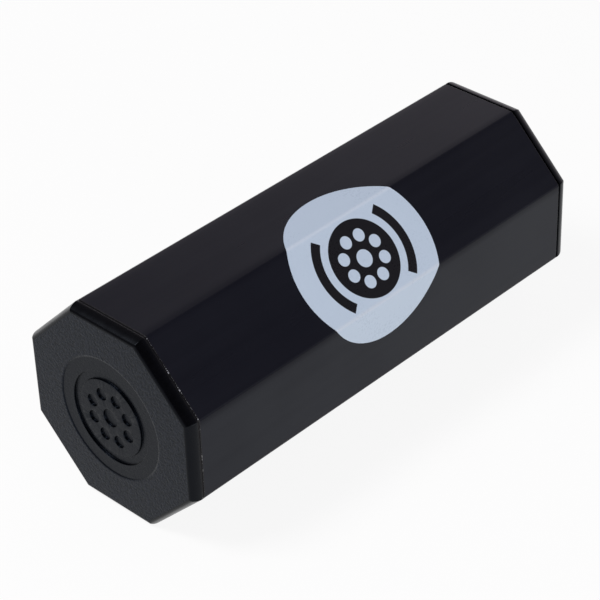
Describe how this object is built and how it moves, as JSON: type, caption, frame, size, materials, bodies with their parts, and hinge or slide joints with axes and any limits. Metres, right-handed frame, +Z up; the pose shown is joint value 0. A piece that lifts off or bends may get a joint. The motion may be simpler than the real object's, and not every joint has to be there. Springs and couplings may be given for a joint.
{
  "type": "percussion shaker",
  "caption": "Octagonal hand shaker: a black metal tube closed by pressed-in moulded end caps, with a round label folded over its flats and loose steel shot inside.",
  "frame": {"origin": "on the surface that the shaker lies on, under the middle of the tube", "axes": "+X along the tube towards the rear cap, +Z up through the top flat, the label on the -Y side"},
  "size_m": [0.1264, 0.0501, 0.0501],
  "materials": {
    "tube_metal": "satin black, bare at the cut ends",
    "cap_plastic": "fine moulded grain",
    "label_vinyl": "satin vinyl",
    "shot_steel": "polished balls"
  },
  "bodies": {
    "shell": {"tube": "tube_metal", "front_end_cap": "cap_plastic", "rear_end_cap": "cap_plastic", "side_label": "label_vinyl"},
    "shot_floor_row_1": {"shot_floor_row_1": "shot_steel"},
    "shot_floor_row_2": {"shot_floor_row_2": "shot_steel"},
    "shot_floor_row_3": {"shot_floor_row_3": "shot_steel"},
    "shot_floor_row_4": {"shot_floor_row_4": "shot_steel"},
    "shot_floor_row_5": {"shot_floor_row_5": "shot_steel"},
    "shot_wedge_row_1": {"shot_wedge_row_1": "shot_steel"},
    "shot_wedge_row_2": {"shot_wedge_row_2": "shot_steel"},
    "shot_middle_row_1": {"shot_middle_row_1": "shot_steel"},
    "shot_middle_row_2": {"shot_middle_row_2": "shot_steel"},
    "shot_middle_row_3": {"shot_middle_row_3": "shot_steel"},
    "shot_middle_row_4": {"shot_middle_row_4": "shot_steel"},
    "shot_top_row_1": {"shot_top_row_1": "shot_steel"},
    "shot_top_row_2": {"shot_top_row_2": "shot_steel"},
    "shot_top_row_3": {"shot_top_row_3": "shot_steel"},
    "shot_shoulder_row_1": {"shot_shoulder_row_1": "shot_steel"},
    "shot_shoulder_row_2": {"shot_shoulder_row_2": "shot_steel"}
  },
  "joints": [
    {"name": "floor_row_1_slide", "type": "slide", "parent": "shell", "child": "shot_floor_row_1", "axis": [1, 0, 0], "range_m": [-0.0057, 0.0078]},
    {"name": "floor_row_2_slide", "type": "slide", "parent": "shell", "child": "shot_floor_row_2", "axis": [1, 0, 0], "range_m": [-0.0078, 0.0057]},
    {"name": "floor_row_3_slide", "type": "slide", "parent": "shell", "child": "shot_floor_row_3", "axis": [1, 0, 0], "range_m": [-0.0057, 0.0078]},
    {"name": "floor_row_4_slide", "type": "slide", "parent": "shell", "child": "shot_floor_row_4", "axis": [1, 0, 0], "range_m": [-0.0078, 0.0057]},
    {"name": "floor_row_5_slide", "type": "slide", "parent": "shell", "child": "shot_floor_row_5", "axis": [1, 0, 0], "range_m": [-0.0057, 0.0078]},
    {"name": "wedge_row_1_slide", "type": "slide", "parent": "shell", "child": "shot_wedge_row_1", "axis": [1, 0, 0], "range_m": [-0.0057, 0.0078]},
    {"name": "wedge_row_2_slide", "type": "slide", "parent": "shell", "child": "shot_wedge_row_2", "axis": [1, 0, 0], "range_m": [-0.0078, 0.0057]},
    {"name": "middle_row_1_slide", "type": "slide", "parent": "shell", "child": "shot_middle_row_1", "axis": [1, 0, 0], "range_m": [-0.0241, 0.0262]},
    {"name": "middle_row_2_slide", "type": "slide", "parent": "shell", "child": "shot_middle_row_2", "axis": [1, 0, 0], "range_m": [-0.0262, 0.0241]},
    {"name": "middle_row_3_slide", "type": "slide", "parent": "shell", "child": "shot_middle_row_3", "axis": [1, 0, 0], "range_m": [-0.0241, 0.0262]},
    {"name": "middle_row_4_slide", "type": "slide", "parent": "shell", "child": "shot_middle_row_4", "axis": [1, 0, 0], "range_m": [-0.0262, 0.0241]},
    {"name": "top_row_1_hop", "type": "slide", "parent": "shot_middle_row_1", "child": "shot_top_row_1", "axis": [0, 0, 1], "range_m": [0, 0.0352]},
    {"name": "top_row_2_hop", "type": "slide", "parent": "shot_middle_row_2", "child": "shot_top_row_2", "axis": [0, 0, 1], "range_m": [0, 0.0352]},
    {"name": "top_row_3_hop", "type": "slide", "parent": "shot_middle_row_4", "child": "shot_top_row_3", "axis": [0, 0, 1], "range_m": [0, 0.0352]},
    {"name": "shoulder_row_1_hop", "type": "slide", "parent": "shot_wedge_row_1", "child": "shot_shoulder_row_1", "axis": [0, 0, 1], "range_m": [0, 0.035]},
    {"name": "shoulder_row_2_hop", "type": "slide", "parent": "shot_wedge_row_2", "child": "shot_shoulder_row_2", "axis": [0, 0, 1], "range_m": [0, 0.035]}
  ]
}
